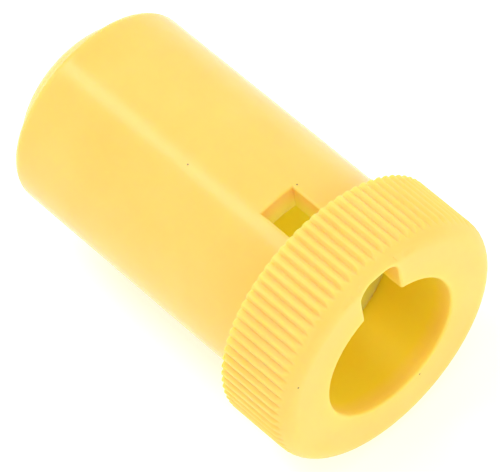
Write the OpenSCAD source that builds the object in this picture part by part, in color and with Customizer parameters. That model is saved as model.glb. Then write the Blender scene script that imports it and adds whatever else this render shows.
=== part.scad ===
// Keyed fence insulator: a moulded sleeve that holds a keyed rod, with a knurled collar
// that turns on its mouth and a plug pressed into its far end.
// The bore lies along X and its mouth faces +X. The key slot is on top, towards +Z.
// The origin is the centre of the bore at the collar's front face.

/* [Bore and key] */
// Diameter of the bore that takes the rod
bore_d = 20; // [18:0.5:20.5]
// Width of the key slot in the barrel, which ends in the window
slot_w = 5.1; // [4.5:0.1:5.4]
// Distance from the front face to the closed end of the slot
slot_end = 17.8; // [15:0.1:24]
// Width of the keyway through the collar
keyway_w = 6.2; // [5.6:0.1:6.8]
// How far the keyway reaches from the bore's axis
keyway_reach = 15.5; // [15:0.1:15.7]
// Rounding of the keyway's two outer corners
keyway_round = 2.2; // [0.6:0.1:2.6]

/* [Barrel] */
// Outer diameter of the barrel
barrel_d = 28; // [27.5:0.1:28.5]
// Distance from the front face to the barrel's far rim
barrel_end = 52.5; // [44:0.5:80]
// Rounding of the far rim
rim_round = 1.4; // [0.4:0.1:1.6]

/* [Collar] */
// Diameter of the collar over its ridges
collar_d = 35; // [34:0.5:40]
// Length of the collar along the bore
collar_len = 11; // [10:0.5:14]
// Rounding of the collar's front edge
front_round = 2.5; // [1:0.1:2.5]
// Number of ridges round the collar
ridges = 80; // [60:1:90]
// Depth of the grooves between the ridges
ridge_depth = 0.45; // [0.2:0.05:0.5]
// Thickness of the collar's front wall
front_wall = 3; // [2.5:0.1:4]
// How far the collar turns between its stops, in degrees
collar_turn = 90; // [60:5:120]

/* [End plug] */
// Diameter of the plug's head where it meets the barrel
head_d = 23.6; // [22.5:0.1:24]
// Height of the head beyond the barrel's rim
head_h = 3.3; // [2:0.1:4]
// Rounding of the head's edge
head_round = 6; // [4.5:0.1:7]
// Length of the plug's stem inside the barrel
stem_len = 7.8; // [5:0.1:12]

/* [Hidden] */

$fn = 96;

bore_r = bore_d / 2;
barrel_r = barrel_d / 2;
collar_r = collar_d / 2;

// Running clearance between the collar and the barrel's spigot, and the cuts' overrun
run_gap = 0.1;
overrun = 1;

// The barrel steps down to a spigot, and the collar's inner tube stands inside that
tube_wall = 1.8;
tube_r = bore_r + tube_wall;
spigot_in_r = tube_r + run_gap;
spigot_step = 0.4;
spigot_r = barrel_r - spigot_step;
socket_r = spigot_r + run_gap;
lead_in = spigot_step;
spigot_front = front_wall + run_gap;
shoulder = collar_len + 2 * run_gap;

// Snap bead on the spigot, which runs in a groove in the collar
bead_h = 0.35;
bead_land = 0.5;
bead_front = front_wall + 3;
bead_len = bead_land + 2 * bead_h;

// Turn stop: a lug on the socket's floor runs in a recess in the spigot's front edge.
// The lug is at the bottom at rest, and the collar turns clockwise, seen from the mouth.
lug_h = 1.2;
lug_half = 10;
stop_gap = 0.5;
recess_depth = lug_h + 2 * run_gap;
lug_start = 180;

// Grooves between the ridges are round, with their centres just outside the collar
groove_r = 0.55;
groove_centre_r = collar_r + groove_r - ridge_depth;

// The head's edge is a torus, and the crown inside it is flat
crown_r = head_d / 2 - sqrt(pow(head_round, 2) - pow(head_round - head_h, 2));

// The plug is a cup with its mouth towards the bore. It is pressed into a seat a little
// wider than the bore, and stops on its head just short of the seat's floor.
seat_step = 0.5;
stem_r = bore_r + seat_step;
plug_wall = 1.8;
plug_floor = 2;
stem_lead = 0.6;

plastic = [0.99, 0.84, 0.42];

// Turns a shape made along +Z so that it lies along +X, with its +X side up as +Z
module along_bore() {
    rotate([0, 90, 0])
        rotate([0, 0, 180])
            children();
}

// A ring from a list of [radius, distance along the bore] corners
module turned(corners) {
    along_bore()
        rotate_extrude()
            polygon(corners);
}

// A disc along the bore, from one distance behind the face to another
module rod(r, from, to) {
    translate([-to, 0, 0])
        along_bore()
            cylinder(r = r, h = to - from);
}

// Part of a ring: its start is measured from the top, towards -Y and then on round
module sector(r_in, r_out, from, to, start, sweep) {
    translate([-to, 0, 0])
        along_bore()
            rotate([0, 0, start])
                rotate_extrude(angle = sweep)
                    translate([r_in, 0])
                        square([r_out - r_in, to - from]);
}

// The keyway through the collar: straight sides, a flat top and two rounded corners
module keyway() {
    length = collar_len + 2 * overrun;
    corner_z = keyway_reach - keyway_round;
    translate([overrun - length, -keyway_w / 2, 0])
        cube([length, keyway_w, corner_z]);
    translate([overrun - length, keyway_round - keyway_w / 2, 0])
        cube([length, keyway_w - 2 * keyway_round, keyway_reach]);
    for (side = [-1, 1])
        translate([0, side * (keyway_w / 2 - keyway_round), corner_z])
            rod(keyway_round, -overrun, collar_len + overrun);
}

module barrel_shell() {
    // The far rim is rounded by a torus that meets the side and the end face
    turned([
        [0, -barrel_end + rim_round],
        [barrel_r, -barrel_end + rim_round],
        [barrel_r, -shoulder],
        [spigot_r, -shoulder],
        [spigot_r, -spigot_front],
        [0, -spigot_front]
    ]);
    rod(barrel_r - rim_round, barrel_end - rim_round - overrun, barrel_end);
    translate([-barrel_end + rim_round, 0, 0])
        along_bore()
            rotate_extrude()
                translate([barrel_r - rim_round, 0])
                    circle(r = rim_round);
    turned([
        [spigot_r - overrun, -bead_front - bead_len],
        [spigot_r, -bead_front - bead_len],
        [spigot_r + bead_h, -bead_front - bead_len + bead_h],
        [spigot_r + bead_h, -bead_front - bead_h],
        [spigot_r, -bead_front],
        [spigot_r - overrun, -bead_front]
    ]);
}

module barrel() {
    color(plastic)
        difference() {
            barrel_shell();
            rod(bore_r, 0, barrel_end);
            rod(spigot_in_r, 0, shoulder);
            rod(stem_r, barrel_end - stem_len - 2 * run_gap, barrel_end + overrun);
            translate([-slot_end, -slot_w / 2, 0])
                cube([slot_end, slot_w, barrel_r + overrun]);
            sector(bore_r, barrel_r + overrun, 0, spigot_front + recess_depth,
                lug_start - collar_turn - lug_half - stop_gap,
                collar_turn + 2 * (lug_half + stop_gap));
        }
}

module collar_ring() {
    rod(collar_r, front_round, collar_len);
    rod(collar_r - front_round, 0, front_round + overrun);
    translate([-front_round, 0, 0])
        along_bore()
            rotate_extrude()
                translate([collar_r - front_round, 0])
                    circle(r = front_round);
}

module ridge_grooves() {
    for (i = [0 : ridges - 1])
        rotate([(i + 0.5) * 360 / ridges, 0, 0])
            translate([0, 0, groove_centre_r])
                rod(groove_r, -overrun, collar_len + overrun);
}

module spigot_socket() {
    difference() {
        rod(socket_r, front_wall, collar_len + overrun);
        rod(tube_r, 0, collar_len + 2 * overrun);
    }
    // Lead-in that lets the collar snap over the bead
    turned([
        [spigot_r, -collar_len - overrun],
        [socket_r + lead_in + overrun, -collar_len - overrun],
        [socket_r, -collar_len + lead_in],
        [spigot_r, -collar_len + lead_in]
    ]);
    // Groove for the snap bead
    turned([
        [spigot_r, -bead_front - bead_len - run_gap],
        [socket_r, -bead_front - bead_len - run_gap],
        [socket_r + bead_h, -bead_front - bead_len - run_gap + bead_h],
        [socket_r + bead_h, -bead_front - bead_h + run_gap],
        [socket_r, -bead_front + run_gap],
        [spigot_r, -bead_front + run_gap]
    ]);
}

module knurled_collar() {
    color(plastic) {
        difference() {
            collar_ring();
            rod(bore_r, -overrun, collar_len + overrun);
            spigot_socket();
            keyway();
            ridge_grooves();
        }
        sector(spigot_in_r + run_gap, spigot_r - run_gap, front_wall - run_gap, front_wall + lug_h,
            lug_start - lug_half, 2 * lug_half);
    }
}

module plug_head() {
    // A low dome: a flat crown, and an edge that is part of a torus cut off at the barrel's rim
    intersection() {
        translate([-barrel_end - head_h + head_round, 0, 0])
            along_bore()
                rotate_extrude()
                    intersection() {
                        union() {
                            translate([crown_r, 0])
                                circle(r = head_round);
                            translate([0, -head_round])
                                square([crown_r, 2 * head_round]);
                        }
                        translate([0, -head_round])
                            square([head_d, 2 * head_round]);
                    }
        rod(head_d, barrel_end, barrel_end + head_h + overrun);
    }
}

module end_plug() {
    color(plastic)
        difference() {
            union() {
                plug_head();
                turned([
                    [0, -barrel_end - overrun],
                    [stem_r, -barrel_end - overrun],
                    [stem_r, -barrel_end + stem_len - stem_lead],
                    [stem_r - stem_lead, -barrel_end + stem_len],
                    [0, -barrel_end + stem_len]
                ]);
            }
            rod(stem_r - plug_wall, 0, barrel_end + head_h - plug_floor);
        }
}

barrel();
knurled_collar();
end_plug();
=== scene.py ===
import math

import bmesh
import bpy
from mathutils import Matrix, Vector


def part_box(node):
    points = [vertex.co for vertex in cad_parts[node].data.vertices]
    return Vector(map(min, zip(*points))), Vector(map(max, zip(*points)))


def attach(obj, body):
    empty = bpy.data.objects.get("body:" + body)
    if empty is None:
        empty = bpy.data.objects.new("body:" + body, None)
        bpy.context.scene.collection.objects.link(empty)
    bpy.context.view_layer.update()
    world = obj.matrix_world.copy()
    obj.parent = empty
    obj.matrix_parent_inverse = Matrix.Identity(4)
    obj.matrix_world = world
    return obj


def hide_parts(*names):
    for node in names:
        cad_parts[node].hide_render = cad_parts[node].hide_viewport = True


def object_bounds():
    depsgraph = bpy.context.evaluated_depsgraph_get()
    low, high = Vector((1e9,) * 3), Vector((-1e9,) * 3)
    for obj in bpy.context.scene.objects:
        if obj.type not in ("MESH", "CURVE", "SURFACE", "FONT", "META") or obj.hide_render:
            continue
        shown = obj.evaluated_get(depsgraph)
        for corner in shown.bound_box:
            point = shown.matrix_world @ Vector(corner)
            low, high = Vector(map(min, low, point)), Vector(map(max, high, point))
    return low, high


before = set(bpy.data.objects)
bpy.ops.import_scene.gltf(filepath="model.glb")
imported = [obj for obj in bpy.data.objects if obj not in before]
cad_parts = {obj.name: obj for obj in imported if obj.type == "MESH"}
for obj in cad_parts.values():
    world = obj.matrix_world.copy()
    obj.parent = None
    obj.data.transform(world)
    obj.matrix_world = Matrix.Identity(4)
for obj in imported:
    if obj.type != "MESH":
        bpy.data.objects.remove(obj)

cad_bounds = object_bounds()
mm = 0.001


# ---- Barrel -------------------------------------------------------------------------------
# A plain tube moulded in yellow nylon, with a key slot from its front end to just past the
# collar. The moulder gives it a little draft, so it is thinner at the far end, and the
# spigot at its front, inside the collar, has a bead that the collar snaps over.

BARREL_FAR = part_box("barrel")[0].x
BARREL_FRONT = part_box("barrel")[1].x
BARREL_R_FAR = 13.9 * mm
BARREL_R_COLLAR = 14.04 * mm
SPIGOT_R = 13.3 * mm
BORE_R = 10.0 * mm
COUNTERBORE_R = 11.9 * mm
COUNTERBORE_END = -11.05 * mm
RIM_ROUND = 1.4 * mm
SLOT_HALF = 2.55 * mm
SLOT_END = -17.8 * mm
BEAD_FRONT = -6.0 * mm
BEAD_H = 0.15 * mm
BEAD_LEN = 1.2 * mm
SEAT_R = 10.5 * mm
SEAT_DEPTH = 8.0 * mm
SLOT_LEAD = 0.8 * mm
FRONT_CHAMFER = 0.2 * mm
BORE_EDGE = 0.04 * mm
WINDOW_ROUND = 0.3 * mm
WALL_MIDDLE_R = (BORE_R + COUNTERBORE_R) / 2 + 1.5 * mm
BARREL_STEPS = 180
SMALL_FACE = 0.02 * mm * mm
NEAR = 0.01 * mm


def arc(centre_x, centre_r, radius, start, end, steps):
    """Points of a round stretch of an outline. Angles are in degrees, 0 along +X and 90 outwards."""
    points = []
    for i in range(steps + 1):
        a = math.radians(start + (end - start) * i / steps)
        points.append((centre_x + radius * math.cos(a), centre_r + radius * math.sin(a)))
    return points


def stretch(x_from, r_from, x_to, r_to, steps):
    """Points of a straight stretch, without its first one."""
    points = []
    for i in range(1, steps + 1):
        t = i / steps
        points.append((x_from + (x_to - x_from) * t, r_from + (r_to - r_from) * t))
    return points


def spun(outline, steps, closed=True):
    """Turns an outline of (distance along the bore, radius) points round the bore."""
    bm = bmesh.new()
    verts = [bm.verts.new((x, 0, r)) for x, r in outline]
    edges = [bm.edges.new((a, b)) for a, b in zip(verts, verts[1:])]
    if closed:
        edges.append(bm.edges.new((verts[-1], verts[0])))
    bmesh.ops.spin(bm, geom=verts + edges, cent=(0, 0, 0), axis=(1, 0, 0), dvec=(0, 0, 0),
                   angle=math.tau, steps=steps, use_merge=True, use_duplicate=False)
    bmesh.ops.remove_doubles(bm, verts=bm.verts, dist=1e-7)
    bmesh.ops.recalc_face_normals(bm, faces=bm.faces)
    return bm


def around(point):
    """Angle round the bore from the top, towards +Y, and the distance from the axis."""
    return math.atan2(point.y, point.z), math.hypot(point.y, point.z)


def widen_slot(bm, line, far_line, half):
    """Moves the mesh lines at angle line so that they run straight, half a slot from the middle."""
    for v in bm.verts:
        angle, radius = around(v.co)
        wanted = math.asin(half / radius)
        size = abs(angle)
        if size <= line:
            new = size * wanted / line
        elif size < far_line:
            new = wanted + (size - line) * (far_line - wanted) / (far_line - line)
        else:
            continue
        new = math.copysign(new, angle)
        v.co.y = radius * math.sin(new)
        v.co.z = radius * math.cos(new)


def cut_wall(bm, inside, middle_r):
    """Takes out the faces whose middles are inside, and walls the hole from skin to skin."""
    bmesh.ops.delete(bm, geom=[f for f in bm.faces if inside(f.calc_center_median())],
                     context="FACES")
    open_edges = [e for e in bm.edges if e.is_boundary]
    outer = [e for e in open_edges if all(around(v.co)[1] > middle_r for v in e.verts)]
    inner = [e for e in open_edges if all(around(v.co)[1] < middle_r for v in e.verts)]
    bmesh.ops.bridge_loops(bm, edges=outer + inner)
    return outer


def finish_piece(bm, name, material, sharp=40):
    """Makes an object from a mesh. Large triangles, and edges that turn past sharp degrees, stay flat."""
    bmesh.ops.recalc_face_normals(bm, faces=bm.faces)
    for f in bm.faces:
        f.smooth = len(f.verts) > 3 or f.calc_area() < SMALL_FACE
    for e in bm.edges:
        e.smooth = len(e.link_faces) == 2 and e.calc_face_angle(0) < math.radians(sharp)
    mesh = bpy.data.meshes.new(name)
    bm.to_mesh(mesh)
    bm.free()
    mesh.materials.append(material)
    piece = bpy.data.objects.new(name, mesh)
    bpy.context.scene.collection.objects.link(piece)
    return piece


# Between these distances from the bore's axis, and behind the mouth's edge, the plastic takes its painted
# bore light and scatters light further
PAINTED_LIGHT_AND_SCATTER_FROM_R = 13.3 * mm
PAINTED_LIGHT_AND_SCATTER_TO_R = 10.1 * mm
MOUTH_FROM = 0.5 * mm
MOUTH_TO = -2.8 * mm
SCATTER = 2 * mm


def moulded_plastic(name, inner, soak, polish_from, polish_to, seed):
    """Yellow moulded nylon: satin, faintly clouded, a few dark specks. At the bore its colour is
    inner, a painted light standing in for the light that has come through the plastic, and light scatters
    as far as soak."""
    material = bpy.data.materials.new(name)
    material.use_nodes = True
    nodes, links = material.node_tree.nodes, material.node_tree.links
    shader = nodes["Principled BSDF"]
    place = nodes.new("ShaderNodeTexCoord")
    shift = nodes.new("ShaderNodeMapping")
    shift.inputs["Location"].default_value = (seed * 0.137, seed * 0.071, seed * 0.053)
    links.new(place.outputs["Object"], shift.inputs["Vector"])

    # Slow clouding of the pigment
    cloud = nodes.new("ShaderNodeTexNoise")
    cloud.inputs["Scale"].default_value = 95
    cloud.inputs["Detail"].default_value = 3
    cloud.inputs["Roughness"].default_value = 0.55
    links.new(shift.outputs["Vector"], cloud.inputs["Vector"])
    tone = nodes.new("ShaderNodeValToRGB")
    tone.color_ramp.elements[0].position = 0.3
    tone.color_ramp.elements[0].color = (0.94, 0.625, 0.15, 1)
    tone.color_ramp.elements[1].position = 0.72
    tone.color_ramp.elements[1].color = (0.95, 0.665, 0.175, 1)
    links.new(cloud.outputs["Fac"], tone.inputs["Fac"])

    # Painted light: the walls of the bore are given the colour inner, painted to stand in for the deeper
    # light that has come to them through the plastic
    spot = nodes.new("ShaderNodeMapping")
    spot.inputs["Scale"].default_value = (0, 1, 1)
    links.new(place.outputs["Object"], spot.inputs["Vector"])
    out = nodes.new("ShaderNodeVectorMath")
    out.operation = "LENGTH"
    links.new(spot.outputs["Vector"], out.inputs[0])
    depth = nodes.new("ShaderNodeMapRange")
    depth.inputs["From Min"].default_value = PAINTED_LIGHT_AND_SCATTER_FROM_R
    depth.inputs["From Max"].default_value = PAINTED_LIGHT_AND_SCATTER_TO_R
    links.new(out.outputs["Value"], depth.inputs["Value"])
    face = nodes.new("ShaderNodeSeparateXYZ")
    links.new(place.outputs["Object"], face.inputs["Vector"])
    behind = nodes.new("ShaderNodeMapRange")
    behind.inputs["From Min"].default_value = MOUTH_FROM
    behind.inputs["From Max"].default_value = MOUTH_TO
    links.new(face.outputs["X"], behind.inputs["Value"])
    inside = nodes.new("ShaderNodeMath")
    inside.operation = "MULTIPLY"
    links.new(depth.outputs["Result"], inside.inputs[0])
    links.new(behind.outputs["Result"], inside.inputs[1])
    painted_bore_light = nodes.new("ShaderNodeMix")
    painted_bore_light.data_type = "RGBA"
    painted_bore_light.inputs["B"].default_value = (*inner, 1)
    links.new(inside.outputs["Value"], painted_bore_light.inputs["Factor"])
    links.new(tone.outputs["Color"], painted_bore_light.inputs["A"])

    # Specks of burnt resin, far apart and each a fifth of a millimetre or so
    specks = nodes.new("ShaderNodeTexVoronoi")
    specks.inputs["Scale"].default_value = 160
    links.new(shift.outputs["Vector"], specks.inputs["Vector"])
    speck = nodes.new("ShaderNodeValToRGB")
    speck.color_ramp.elements[0].position = 0.014
    speck.color_ramp.elements[0].color = (1, 1, 1, 1)
    speck.color_ramp.elements[1].position = 0.024
    speck.color_ramp.elements[1].color = (0, 0, 0, 1)
    links.new(specks.outputs["Distance"], speck.inputs["Fac"])
    stain = nodes.new("ShaderNodeMix")
    stain.data_type = "RGBA"
    stain.inputs["B"].default_value = (0.22, 0.12, 0.05, 1)
    links.new(speck.outputs["Color"], stain.inputs["Factor"])
    links.new(painted_bore_light.outputs["Result"], stain.inputs["A"])
    links.new(stain.outputs["Result"], shader.inputs["Base Color"])

    # The polish of the mould wears unevenly
    polish = nodes.new("ShaderNodeTexNoise")
    polish.inputs["Scale"].default_value = 260
    polish.inputs["Detail"].default_value = 4
    links.new(shift.outputs["Vector"], polish.inputs["Vector"])
    gloss = nodes.new("ShaderNodeMapRange")
    gloss.inputs["To Min"].default_value = polish_from
    gloss.inputs["To Max"].default_value = polish_to
    links.new(polish.outputs["Fac"], gloss.inputs["Value"])
    links.new(gloss.outputs["Result"], shader.inputs["Roughness"])

    # Fine grain from the mould's spark-finished walls, on a slow ripple of shrinkage
    ripple = nodes.new("ShaderNodeTexNoise")
    ripple.inputs["Scale"].default_value = 160
    ripple.inputs["Detail"].default_value = 1
    links.new(shift.outputs["Vector"], ripple.inputs["Vector"])
    wave = nodes.new("ShaderNodeBump")
    wave.inputs["Strength"].default_value = 0.35
    wave.inputs["Distance"].default_value = 0.06 * mm
    links.new(ripple.outputs["Fac"], wave.inputs["Height"])
    grain = nodes.new("ShaderNodeTexNoise")
    grain.inputs["Scale"].default_value = 2600
    grain.inputs["Detail"].default_value = 2
    links.new(shift.outputs["Vector"], grain.inputs["Vector"])
    bump = nodes.new("ShaderNodeBump")
    bump.inputs["Strength"].default_value = 0.25
    bump.inputs["Distance"].default_value = 0.012 * mm
    links.new(grain.outputs["Fac"], bump.inputs["Height"])
    links.new(wave.outputs["Normal"], bump.inputs["Normal"])
    links.new(bump.outputs["Normal"], shader.inputs["Normal"])

    shader.inputs["IOR"].default_value = 1.5
    shader.inputs["Specular IOR Level"].default_value = 0.18
    shader.inputs["Subsurface Weight"].default_value = 1.0
    shader.inputs["Subsurface Radius"].default_value = (1.0, 0.8, 0.2)
    through = nodes.new("ShaderNodeMapRange")
    through.inputs["To Min"].default_value = SCATTER
    through.inputs["To Max"].default_value = soak
    links.new(inside.outputs["Value"], through.inputs["Value"])
    links.new(through.outputs["Result"], shader.inputs["Subsurface Scale"])
    return material


# Its bore walls get a paler, brighter painted light, which lights up the floor of the window
barrel_plastic = moulded_plastic("barrel_plastic", (1.0, 0.95, 0.2), 6 * mm, 0.16, 0.24, 1)

barrel_outline = []
barrel_outline += arc(BARREL_FAR + RIM_ROUND, BARREL_R_FAR - RIM_ROUND, RIM_ROUND, 180, 90, 12)
barrel_outline += stretch(BARREL_FAR + RIM_ROUND, BARREL_R_FAR, SLOT_END - SLOT_LEAD,
                          BARREL_R_COLLAR, 16)
barrel_outline += stretch(SLOT_END - SLOT_LEAD, BARREL_R_COLLAR, SLOT_END, BARREL_R_COLLAR, 1)
barrel_outline += stretch(SLOT_END, BARREL_R_COLLAR, COUNTERBORE_END, BARREL_R_COLLAR, 5)
barrel_outline += [(COUNTERBORE_END, SPIGOT_R)]
barrel_outline += stretch(COUNTERBORE_END, SPIGOT_R, BEAD_FRONT - BEAD_LEN, SPIGOT_R, 3)
barrel_outline += [(BEAD_FRONT - BEAD_LEN + BEAD_H, SPIGOT_R + BEAD_H),
                   (BEAD_FRONT - BEAD_H, SPIGOT_R + BEAD_H),
                   (BEAD_FRONT, SPIGOT_R)]
barrel_outline += stretch(BEAD_FRONT, SPIGOT_R, BARREL_FRONT - FRONT_CHAMFER, SPIGOT_R, 3)
barrel_outline += [(BARREL_FRONT, SPIGOT_R - FRONT_CHAMFER),
                   (BARREL_FRONT, COUNTERBORE_R + FRONT_CHAMFER)]
barrel_outline += [(BARREL_FRONT - FRONT_CHAMFER, COUNTERBORE_R)]
barrel_outline += stretch(BARREL_FRONT - FRONT_CHAMFER, COUNTERBORE_R, COUNTERBORE_END,
                          COUNTERBORE_R, 8)
barrel_outline += stretch(COUNTERBORE_END, COUNTERBORE_R, COUNTERBORE_END, BORE_R + BORE_EDGE, 2)
barrel_outline += [(COUNTERBORE_END - BORE_EDGE, BORE_R)]
barrel_outline += stretch(COUNTERBORE_END - BORE_EDGE, BORE_R, SLOT_END, BORE_R, 5)
seat_end = BARREL_FAR + SEAT_DEPTH
barrel_outline += stretch(SLOT_END, BORE_R, seat_end, BORE_R, 12)
barrel_outline += [(seat_end, SEAT_R)]
barrel_outline += stretch(seat_end, SEAT_R, BARREL_FAR, SEAT_R, 4)
barrel_outline += stretch(BARREL_FAR, SEAT_R, BARREL_FAR, BARREL_R_FAR - RIM_ROUND, 3)[:-1]

barrel_mesh = spun(barrel_outline, BARREL_STEPS)
slot_line = math.radians(12)
slot_blend = math.radians(70)
widen_slot(barrel_mesh, slot_line, slot_blend, SLOT_HALF)


def in_slot(middle):
    return abs(middle.y) < SLOT_HALF and middle.z > 0 and middle.x > SLOT_END


slot_rim = cut_wall(barrel_mesh, in_slot, WALL_MIDDLE_R)
outside_r = (SPIGOT_R + BARREL_R_COLLAR) / 2
window_edges = [e for e in slot_rim if e.is_valid
                and all(v.co.x < COUNTERBORE_END + NEAR
                        and around(v.co)[1] > outside_r for v in e.verts)]
bmesh.ops.bevel(barrel_mesh, geom=window_edges, offset=WINDOW_ROUND, offset_type="OFFSET",
                segments=4, profile=0.5, affect="EDGES", material=-1, clamp_overlap=True)
barrel = finish_piece(barrel_mesh, "barrel_shell", barrel_plastic)
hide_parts("barrel")
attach(barrel, "sleeve")


# ---- End plug -----------------------------------------------------------------------------
# A cup-shaped plug in the same nylon, pressed into the far end of the bore. Its low domed
# head overlaps the end of the barrel inside the rounded rim.

HEAD_R = 11.8 * mm
HEAD_H = 3.3 * mm
HEAD_ROUND = 5.4 * mm
STEM_LEN = 7.8 * mm
STEM_LEAD = 0.6 * mm
PLUG_WALL = 1.8 * mm
PLUG_FLOOR = 2.0 * mm

head_end = BARREL_FAR - HEAD_H
head_centre_x = head_end + HEAD_ROUND
low = math.degrees(math.asin((HEAD_ROUND - HEAD_H) / HEAD_ROUND))
head_centre_r = HEAD_R - HEAD_ROUND * math.cos(math.radians(low))
stem_front = BARREL_FAR + STEM_LEN
cup_r = SEAT_R - PLUG_WALL
cup_floor = head_end + PLUG_FLOOR

plug_outline = [(head_end, 0.0)]
plug_outline += stretch(head_end, 0.0, head_end, head_centre_r, 5)
plug_outline += arc(head_centre_x, head_centre_r, HEAD_ROUND, 180, 180 - (90 - low), 16)[1:]
plug_outline += stretch(BARREL_FAR, HEAD_R, BARREL_FAR, SEAT_R, 2)
plug_outline += stretch(BARREL_FAR, SEAT_R, stem_front - STEM_LEAD, SEAT_R, 4)
plug_outline += [(stem_front, SEAT_R - STEM_LEAD), (stem_front, cup_r + 0.2 * mm)]
plug_outline += [(stem_front - 0.2 * mm, cup_r)]
plug_outline += stretch(stem_front - 0.2 * mm, cup_r, cup_floor + 0.6 * mm, cup_r, 4)
plug_outline += arc(cup_floor + 0.6 * mm, cup_r - 0.6 * mm, 0.6 * mm, 90, 180, 5)[1:]
plug_outline += stretch(cup_floor, cup_r - 0.6 * mm, cup_floor, 0.0, 4)

# Its painted bore light is close to its own tone
plug_plastic = moulded_plastic("plug_plastic", (0.95, 0.66, 0.17), 3 * mm, 0.18, 0.26, 2)
plug = finish_piece(spun(plug_outline, 128, closed=False), "end_plug_cup", plug_plastic)
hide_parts("end_plug")
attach(plug, "sleeve")


# ---- Knurled collar -----------------------------------------------------------------------
# A moulded ring that turns on the barrel's spigot. It has eighty straight rounded ridges
# for the fingers, which run out over its rounded front edge, a flat face, and a keyed
# mouth. Its inner tube carries the bore on to the barrel's shoulder.

COLLAR_R = 17.5 * mm
COLLAR_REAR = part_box("knurled_collar")[0].x
FRONT_ROUND = 2.5 * mm
FACE_R = COLLAR_R - FRONT_ROUND
KEY_HALF = 3.05 * mm
KEY_TOP = 15.35 * mm
KEY_ROUND = 2.1 * mm
LIP = 0.35 * mm
RIDGES = 80
RIDGE_STEPS = 8
RIDGE_DEPTH = 0.38 * mm
RIDGE_BLEND = 0.1 * mm
TUBE_R = 11.8 * mm
SOCKET_R = 13.4 * mm
FRONT_WALL = -3.0 * mm
GROOVE_R = SOCKET_R + BEAD_H
REAR_EDGE = 0.12 * mm
BLEND_R = 16.6 * mm
REAR_RING_R = 15.8 * mm
RIDGE_INNER_R = 15.9 * mm
RIDGE_FRONT = -0.1 * mm
FACE_BACK = -0.6 * mm
BEAD_PLAY = 0.1 * mm


def front_x(r):
    """How far the face or the rounded front edge lies behind the front plane, at a radius."""
    if r <= FACE_R:
        return 0.0
    return -(FRONT_ROUND - math.sqrt(max(0.0, FRONT_ROUND ** 2 - (r - FACE_R) ** 2)))


def from_mouth(y, z):
    """Distance in the face from the edge of the keyed mouth."""
    side = abs(y) - (KEY_HALF - KEY_ROUND)
    top = z - (KEY_TOP - KEY_ROUND)
    if z < 0:
        key = BORE_R
    elif side > 0 and top > 0:
        key = math.hypot(side, top) - KEY_ROUND
    else:
        key = max(side, top) - KEY_ROUND
    return max(0.0, min(key, math.hypot(y, z) - BORE_R))


collar_outline = [(COLLAR_REAR, BORE_R)]
collar_outline += stretch(COLLAR_REAR, BORE_R, -LIP, BORE_R, 12)
face_rings = [0.03, 0.09, 0.17, 0.27, 0.4, 0.6, 0.9, 1.3, 1.8, 2.4, 3.0, 3.6, 4.2, 4.7, 5.0,
              5.2, 5.35, 5.43, 5.52, 5.64, 5.8]
collar_outline += [(front_x(BORE_R + s * mm), BORE_R + s * mm) for s in face_rings]
collar_outline += arc(-FRONT_ROUND, FACE_R, FRONT_ROUND, 22, 90, 16)
collar_outline += stretch(-FRONT_ROUND, COLLAR_R, COLLAR_REAR + REAR_EDGE, COLLAR_R, 12)
collar_outline += arc(COLLAR_REAR + REAR_EDGE, COLLAR_R - REAR_EDGE, REAR_EDGE, 90, 180, 3)[1:]
collar_outline += [(COLLAR_REAR, BLEND_R), (COLLAR_REAR, REAR_RING_R), (COLLAR_REAR, KEY_TOP)]
collar_outline += [(COLLAR_REAR, SOCKET_R)]
groove_rear = BEAD_FRONT - BEAD_LEN - BEAD_PLAY
groove_front = BEAD_FRONT + BEAD_PLAY
collar_outline += stretch(COLLAR_REAR, SOCKET_R, groove_rear, SOCKET_R, 3)
collar_outline += [(groove_rear + BEAD_H, GROOVE_R), (groove_front - BEAD_H, GROOVE_R),
                   (groove_front, SOCKET_R)]
collar_outline += stretch(groove_front, SOCKET_R, FRONT_WALL, SOCKET_R, 2)
collar_outline += stretch(FRONT_WALL, SOCKET_R, FRONT_WALL, TUBE_R, 3)
collar_outline += stretch(FRONT_WALL, TUBE_R, COLLAR_REAR, TUBE_R, 5)
collar_outline += stretch(COLLAR_REAR, TUBE_R, COLLAR_REAR, BORE_R, 2)[:-1]

collar_mesh = spun(collar_outline, RIDGES * RIDGE_STEPS)

# Mesh lines run along the keyway's sides, and a ring of them over its rounded top
KEY_LINES = 24
key_line = math.tau / (RIDGES * RIDGE_STEPS) * KEY_LINES
key_blend = math.radians(34)
corner_blend = math.radians(12)
key_corner_z = KEY_TOP - KEY_ROUND
flat_half = KEY_HALF - KEY_ROUND
half_way_round = flat_half + KEY_ROUND * math.pi / 2


def key_top(share):
    """A point of the keyway's top, from its middle at 0 to the end of a rounded corner at 1."""
    along = share * half_way_round
    if along <= flat_half:
        return along, KEY_TOP
    a = (along - flat_half) / KEY_ROUND
    return flat_half + KEY_ROUND * math.sin(a), key_corner_z + KEY_ROUND * math.cos(a)


for v in collar_mesh.verts:
    angle, radius = around(v.co)
    size = abs(angle)
    if radius > BLEND_R - 1e-6 or size > key_blend:
        continue
    share = min(1.0, size / key_line)
    front_ring = v.co.x > -LIP - 1e-6 and radius > BORE_R + 1e-6
    rear_ring = v.co.x < COLLAR_REAR + 1e-6 and radius > SOCKET_R - 1e-6
    y = KEY_HALF * share
    if front_ring or rear_ring:
        inner = BORE_R if front_ring else SOCKET_R
        top_y, top_z = key_top(share)
        top_r = math.hypot(top_y, top_z)
        if size > key_line:
            t = min(1.0, (size - key_line) / corner_blend)
            top_r += (KEY_TOP - top_r) * t * t * (3 - 2 * t)
        if radius <= KEY_TOP:
            t = (radius - inner) / (KEY_TOP - inner)
            y += (top_y - y) * t
        else:
            t = 1 - (radius - KEY_TOP) / (BLEND_R - KEY_TOP)
            y = top_y
        radius -= (KEY_TOP - top_r) * t
    new = math.asin(min(1.0, y / radius))
    if size > key_line:
        new += (size - key_line) * (key_blend - new) / (key_blend - key_line)
    new = math.copysign(new, angle)
    v.co.y = radius * math.sin(new)
    v.co.z = radius * math.cos(new)

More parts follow.
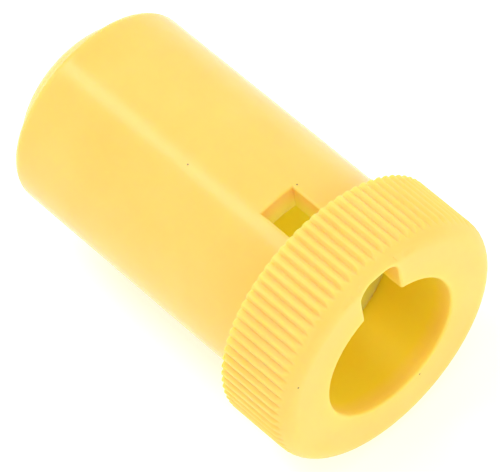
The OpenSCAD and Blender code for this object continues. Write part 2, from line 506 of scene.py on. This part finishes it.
for v in collar_mesh.verts:
    angle, radius = around(v.co)
    # Face, with the lip of the mouth rounded over
    if v.co.x > FACE_BACK and radius < RIDGE_INNER_R:
        gap = from_mouth(v.co.y, v.co.z)
        drop = LIP - math.sqrt(max(0.0, LIP ** 2 - max(0.0, LIP - gap) ** 2))
        v.co.x = front_x(radius) - drop
    # Ridges: the grooves lie along the bore, so they run out where the edge curves in
    elif radius > RIDGE_INNER_R and v.co.x < RIDGE_FRONT:
        wave = (0.5 - 0.5 * math.cos(RIDGES * angle)) ** 1.5
        floor = COLLAR_R - RIDGE_DEPTH * wave
        over = radius - floor
        cut = 0.5 * (over + math.sqrt(over * over + RIDGE_BLEND ** 2)) if wave > 0 else 0.0
        cut *= min(1.0, wave * 3)
        new = radius - cut
        v.co.y *= new / radius
        v.co.z *= new / radius


def in_keyway(face):
    """True for what the keyway takes away: all between its sides, as far out as its top."""
    size = max(abs(v.co.y) for v in face.verts)
    middle = face.calc_center_median()
    if middle.z < 0 or size > KEY_HALF + 1e-7:
        return False
    return from_mouth(middle.y, middle.z) <= 0


bmesh.ops.delete(collar_mesh, geom=[f for f in collar_mesh.faces if in_keyway(f)],
                 context="FACES")
open_edges = [e for e in collar_mesh.edges if e.is_boundary]
tops = [e for e in open_edges
        if all(v.co.z > key_corner_z - 1e-6 and abs(v.co.y) <= KEY_HALF + 1e-7 for v in e.verts)
        and abs(e.verts[0].co.y - e.verts[1].co.y) > 1e-7]
bmesh.ops.bridge_loops(collar_mesh, edges=tops)
open_edges = [e for e in collar_mesh.edges if e.is_boundary]
for side in (-1, 1):
    wall = [e for e in open_edges if all(v.co.y * side > 0 for v in e.verts)]
    bmesh.ops.triangle_fill(collar_mesh, use_beauty=True, use_dissolve=False, edges=wall,
                            normal=(0, -side, 0))

# Its bore walls get a deeper yellow, painted light
collar_plastic = moulded_plastic("collar_plastic", (1.0, 0.73, 0.04), 2.1 * mm, 0.4, 0.5, 3)
collar = finish_piece(collar_mesh, "collar_ring", collar_plastic)
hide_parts("knurled_collar")
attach(collar, "collar")


# ---- Studio -------------------------------------------------------------------------------
# White paper under the sleeve, which glows a little to stay white, a long soft box overhead,
# a square one in front of the mouth, and an even white surround. The lens looks down on the mouth.

scene = bpy.context.scene
floor_mesh = bpy.data.meshes.new("floor")
bm = bmesh.new()
bmesh.ops.create_grid(bm, x_segments=1, y_segments=1, size=1.5)
bmesh.ops.translate(bm, verts=bm.verts, vec=(0, 0, cad_bounds[0].z))
bm.to_mesh(floor_mesh)
bm.free()
floor = bpy.data.objects.new("floor", floor_mesh)
scene.collection.objects.link(floor)
paper = bpy.data.materials.new("paper")
paper.use_nodes = True
paper.node_tree.nodes["Principled BSDF"].inputs["Base Color"].default_value = (0.75, 0.75, 0.75, 1)
paper.node_tree.nodes["Principled BSDF"].inputs["Roughness"].default_value = 0.9
paper.node_tree.nodes["Principled BSDF"].inputs["Specular IOR Level"].default_value = 0.1
paper.node_tree.nodes["Principled BSDF"].inputs["Emission Color"].default_value = (1, 1, 1, 1)
paper.node_tree.nodes["Principled BSDF"].inputs["Emission Strength"].default_value = 0.44
floor_mesh.materials.append(paper)

surround = bpy.data.worlds.new("surround")
surround.use_nodes = True
surround.node_tree.nodes["Background"].inputs["Color"].default_value = (1.0, 1.0, 1.0, 1)
surround.node_tree.nodes["Background"].inputs["Strength"].default_value = 0.76
scene.world = surround

subject = Vector((-24.6, -0.2, -0.9)) * mm


def soft_box(name, towards, distance, width, length, power):
    """A rectangular light that faces the subject, with its long side in line with the bore."""
    lamp = bpy.data.lights.new(name, "AREA")
    lamp.shape = "RECTANGLE"
    lamp.size = width
    lamp.size_y = length
    lamp.energy = power
    back = Vector(towards).normalized()
    along = (Vector((1, 0, 0)) - back * back.x).normalized()
    turn = Matrix((along.cross(back), along, back)).transposed()
    box = bpy.data.objects.new(name, lamp)
    box.matrix_world = Matrix.Translation(subject + back * distance) @ turn.to_4x4()
    box.visible_camera = False
    scene.collection.objects.link(box)


soft_box("overhead_box", (-0.463, -0.161, 0.871), 1.0, 0.2, 0.9, 4.2)
soft_box("front_box", (0.83, 0.2, 0.5), 1.0, 0.5, 0.5, 2.1)

lens = bpy.data.cameras.new("camera")
lens.sensor_width = 36
lens.lens = 432
camera = bpy.data.objects.new("camera", lens)
bearing = math.radians(56.19)
height = math.radians(56.10)
roll = math.radians(11.45)
camera_distance = 726.3 * mm
back = Vector((math.sin(bearing) * math.cos(height), -math.cos(bearing) * math.cos(height),
               math.sin(height)))
turn = back.to_track_quat("Z", "Y").to_matrix() @ Matrix.Rotation(-roll, 3, "Z")
camera.matrix_world = Matrix.Translation(subject + back * camera_distance) @ turn.to_4x4()
scene.collection.objects.link(camera)
scene.camera = camera
scene.view_settings.view_transform = "Standard"
scene.cycles.max_bounces = 24
scene.cycles.diffuse_bounces = 16
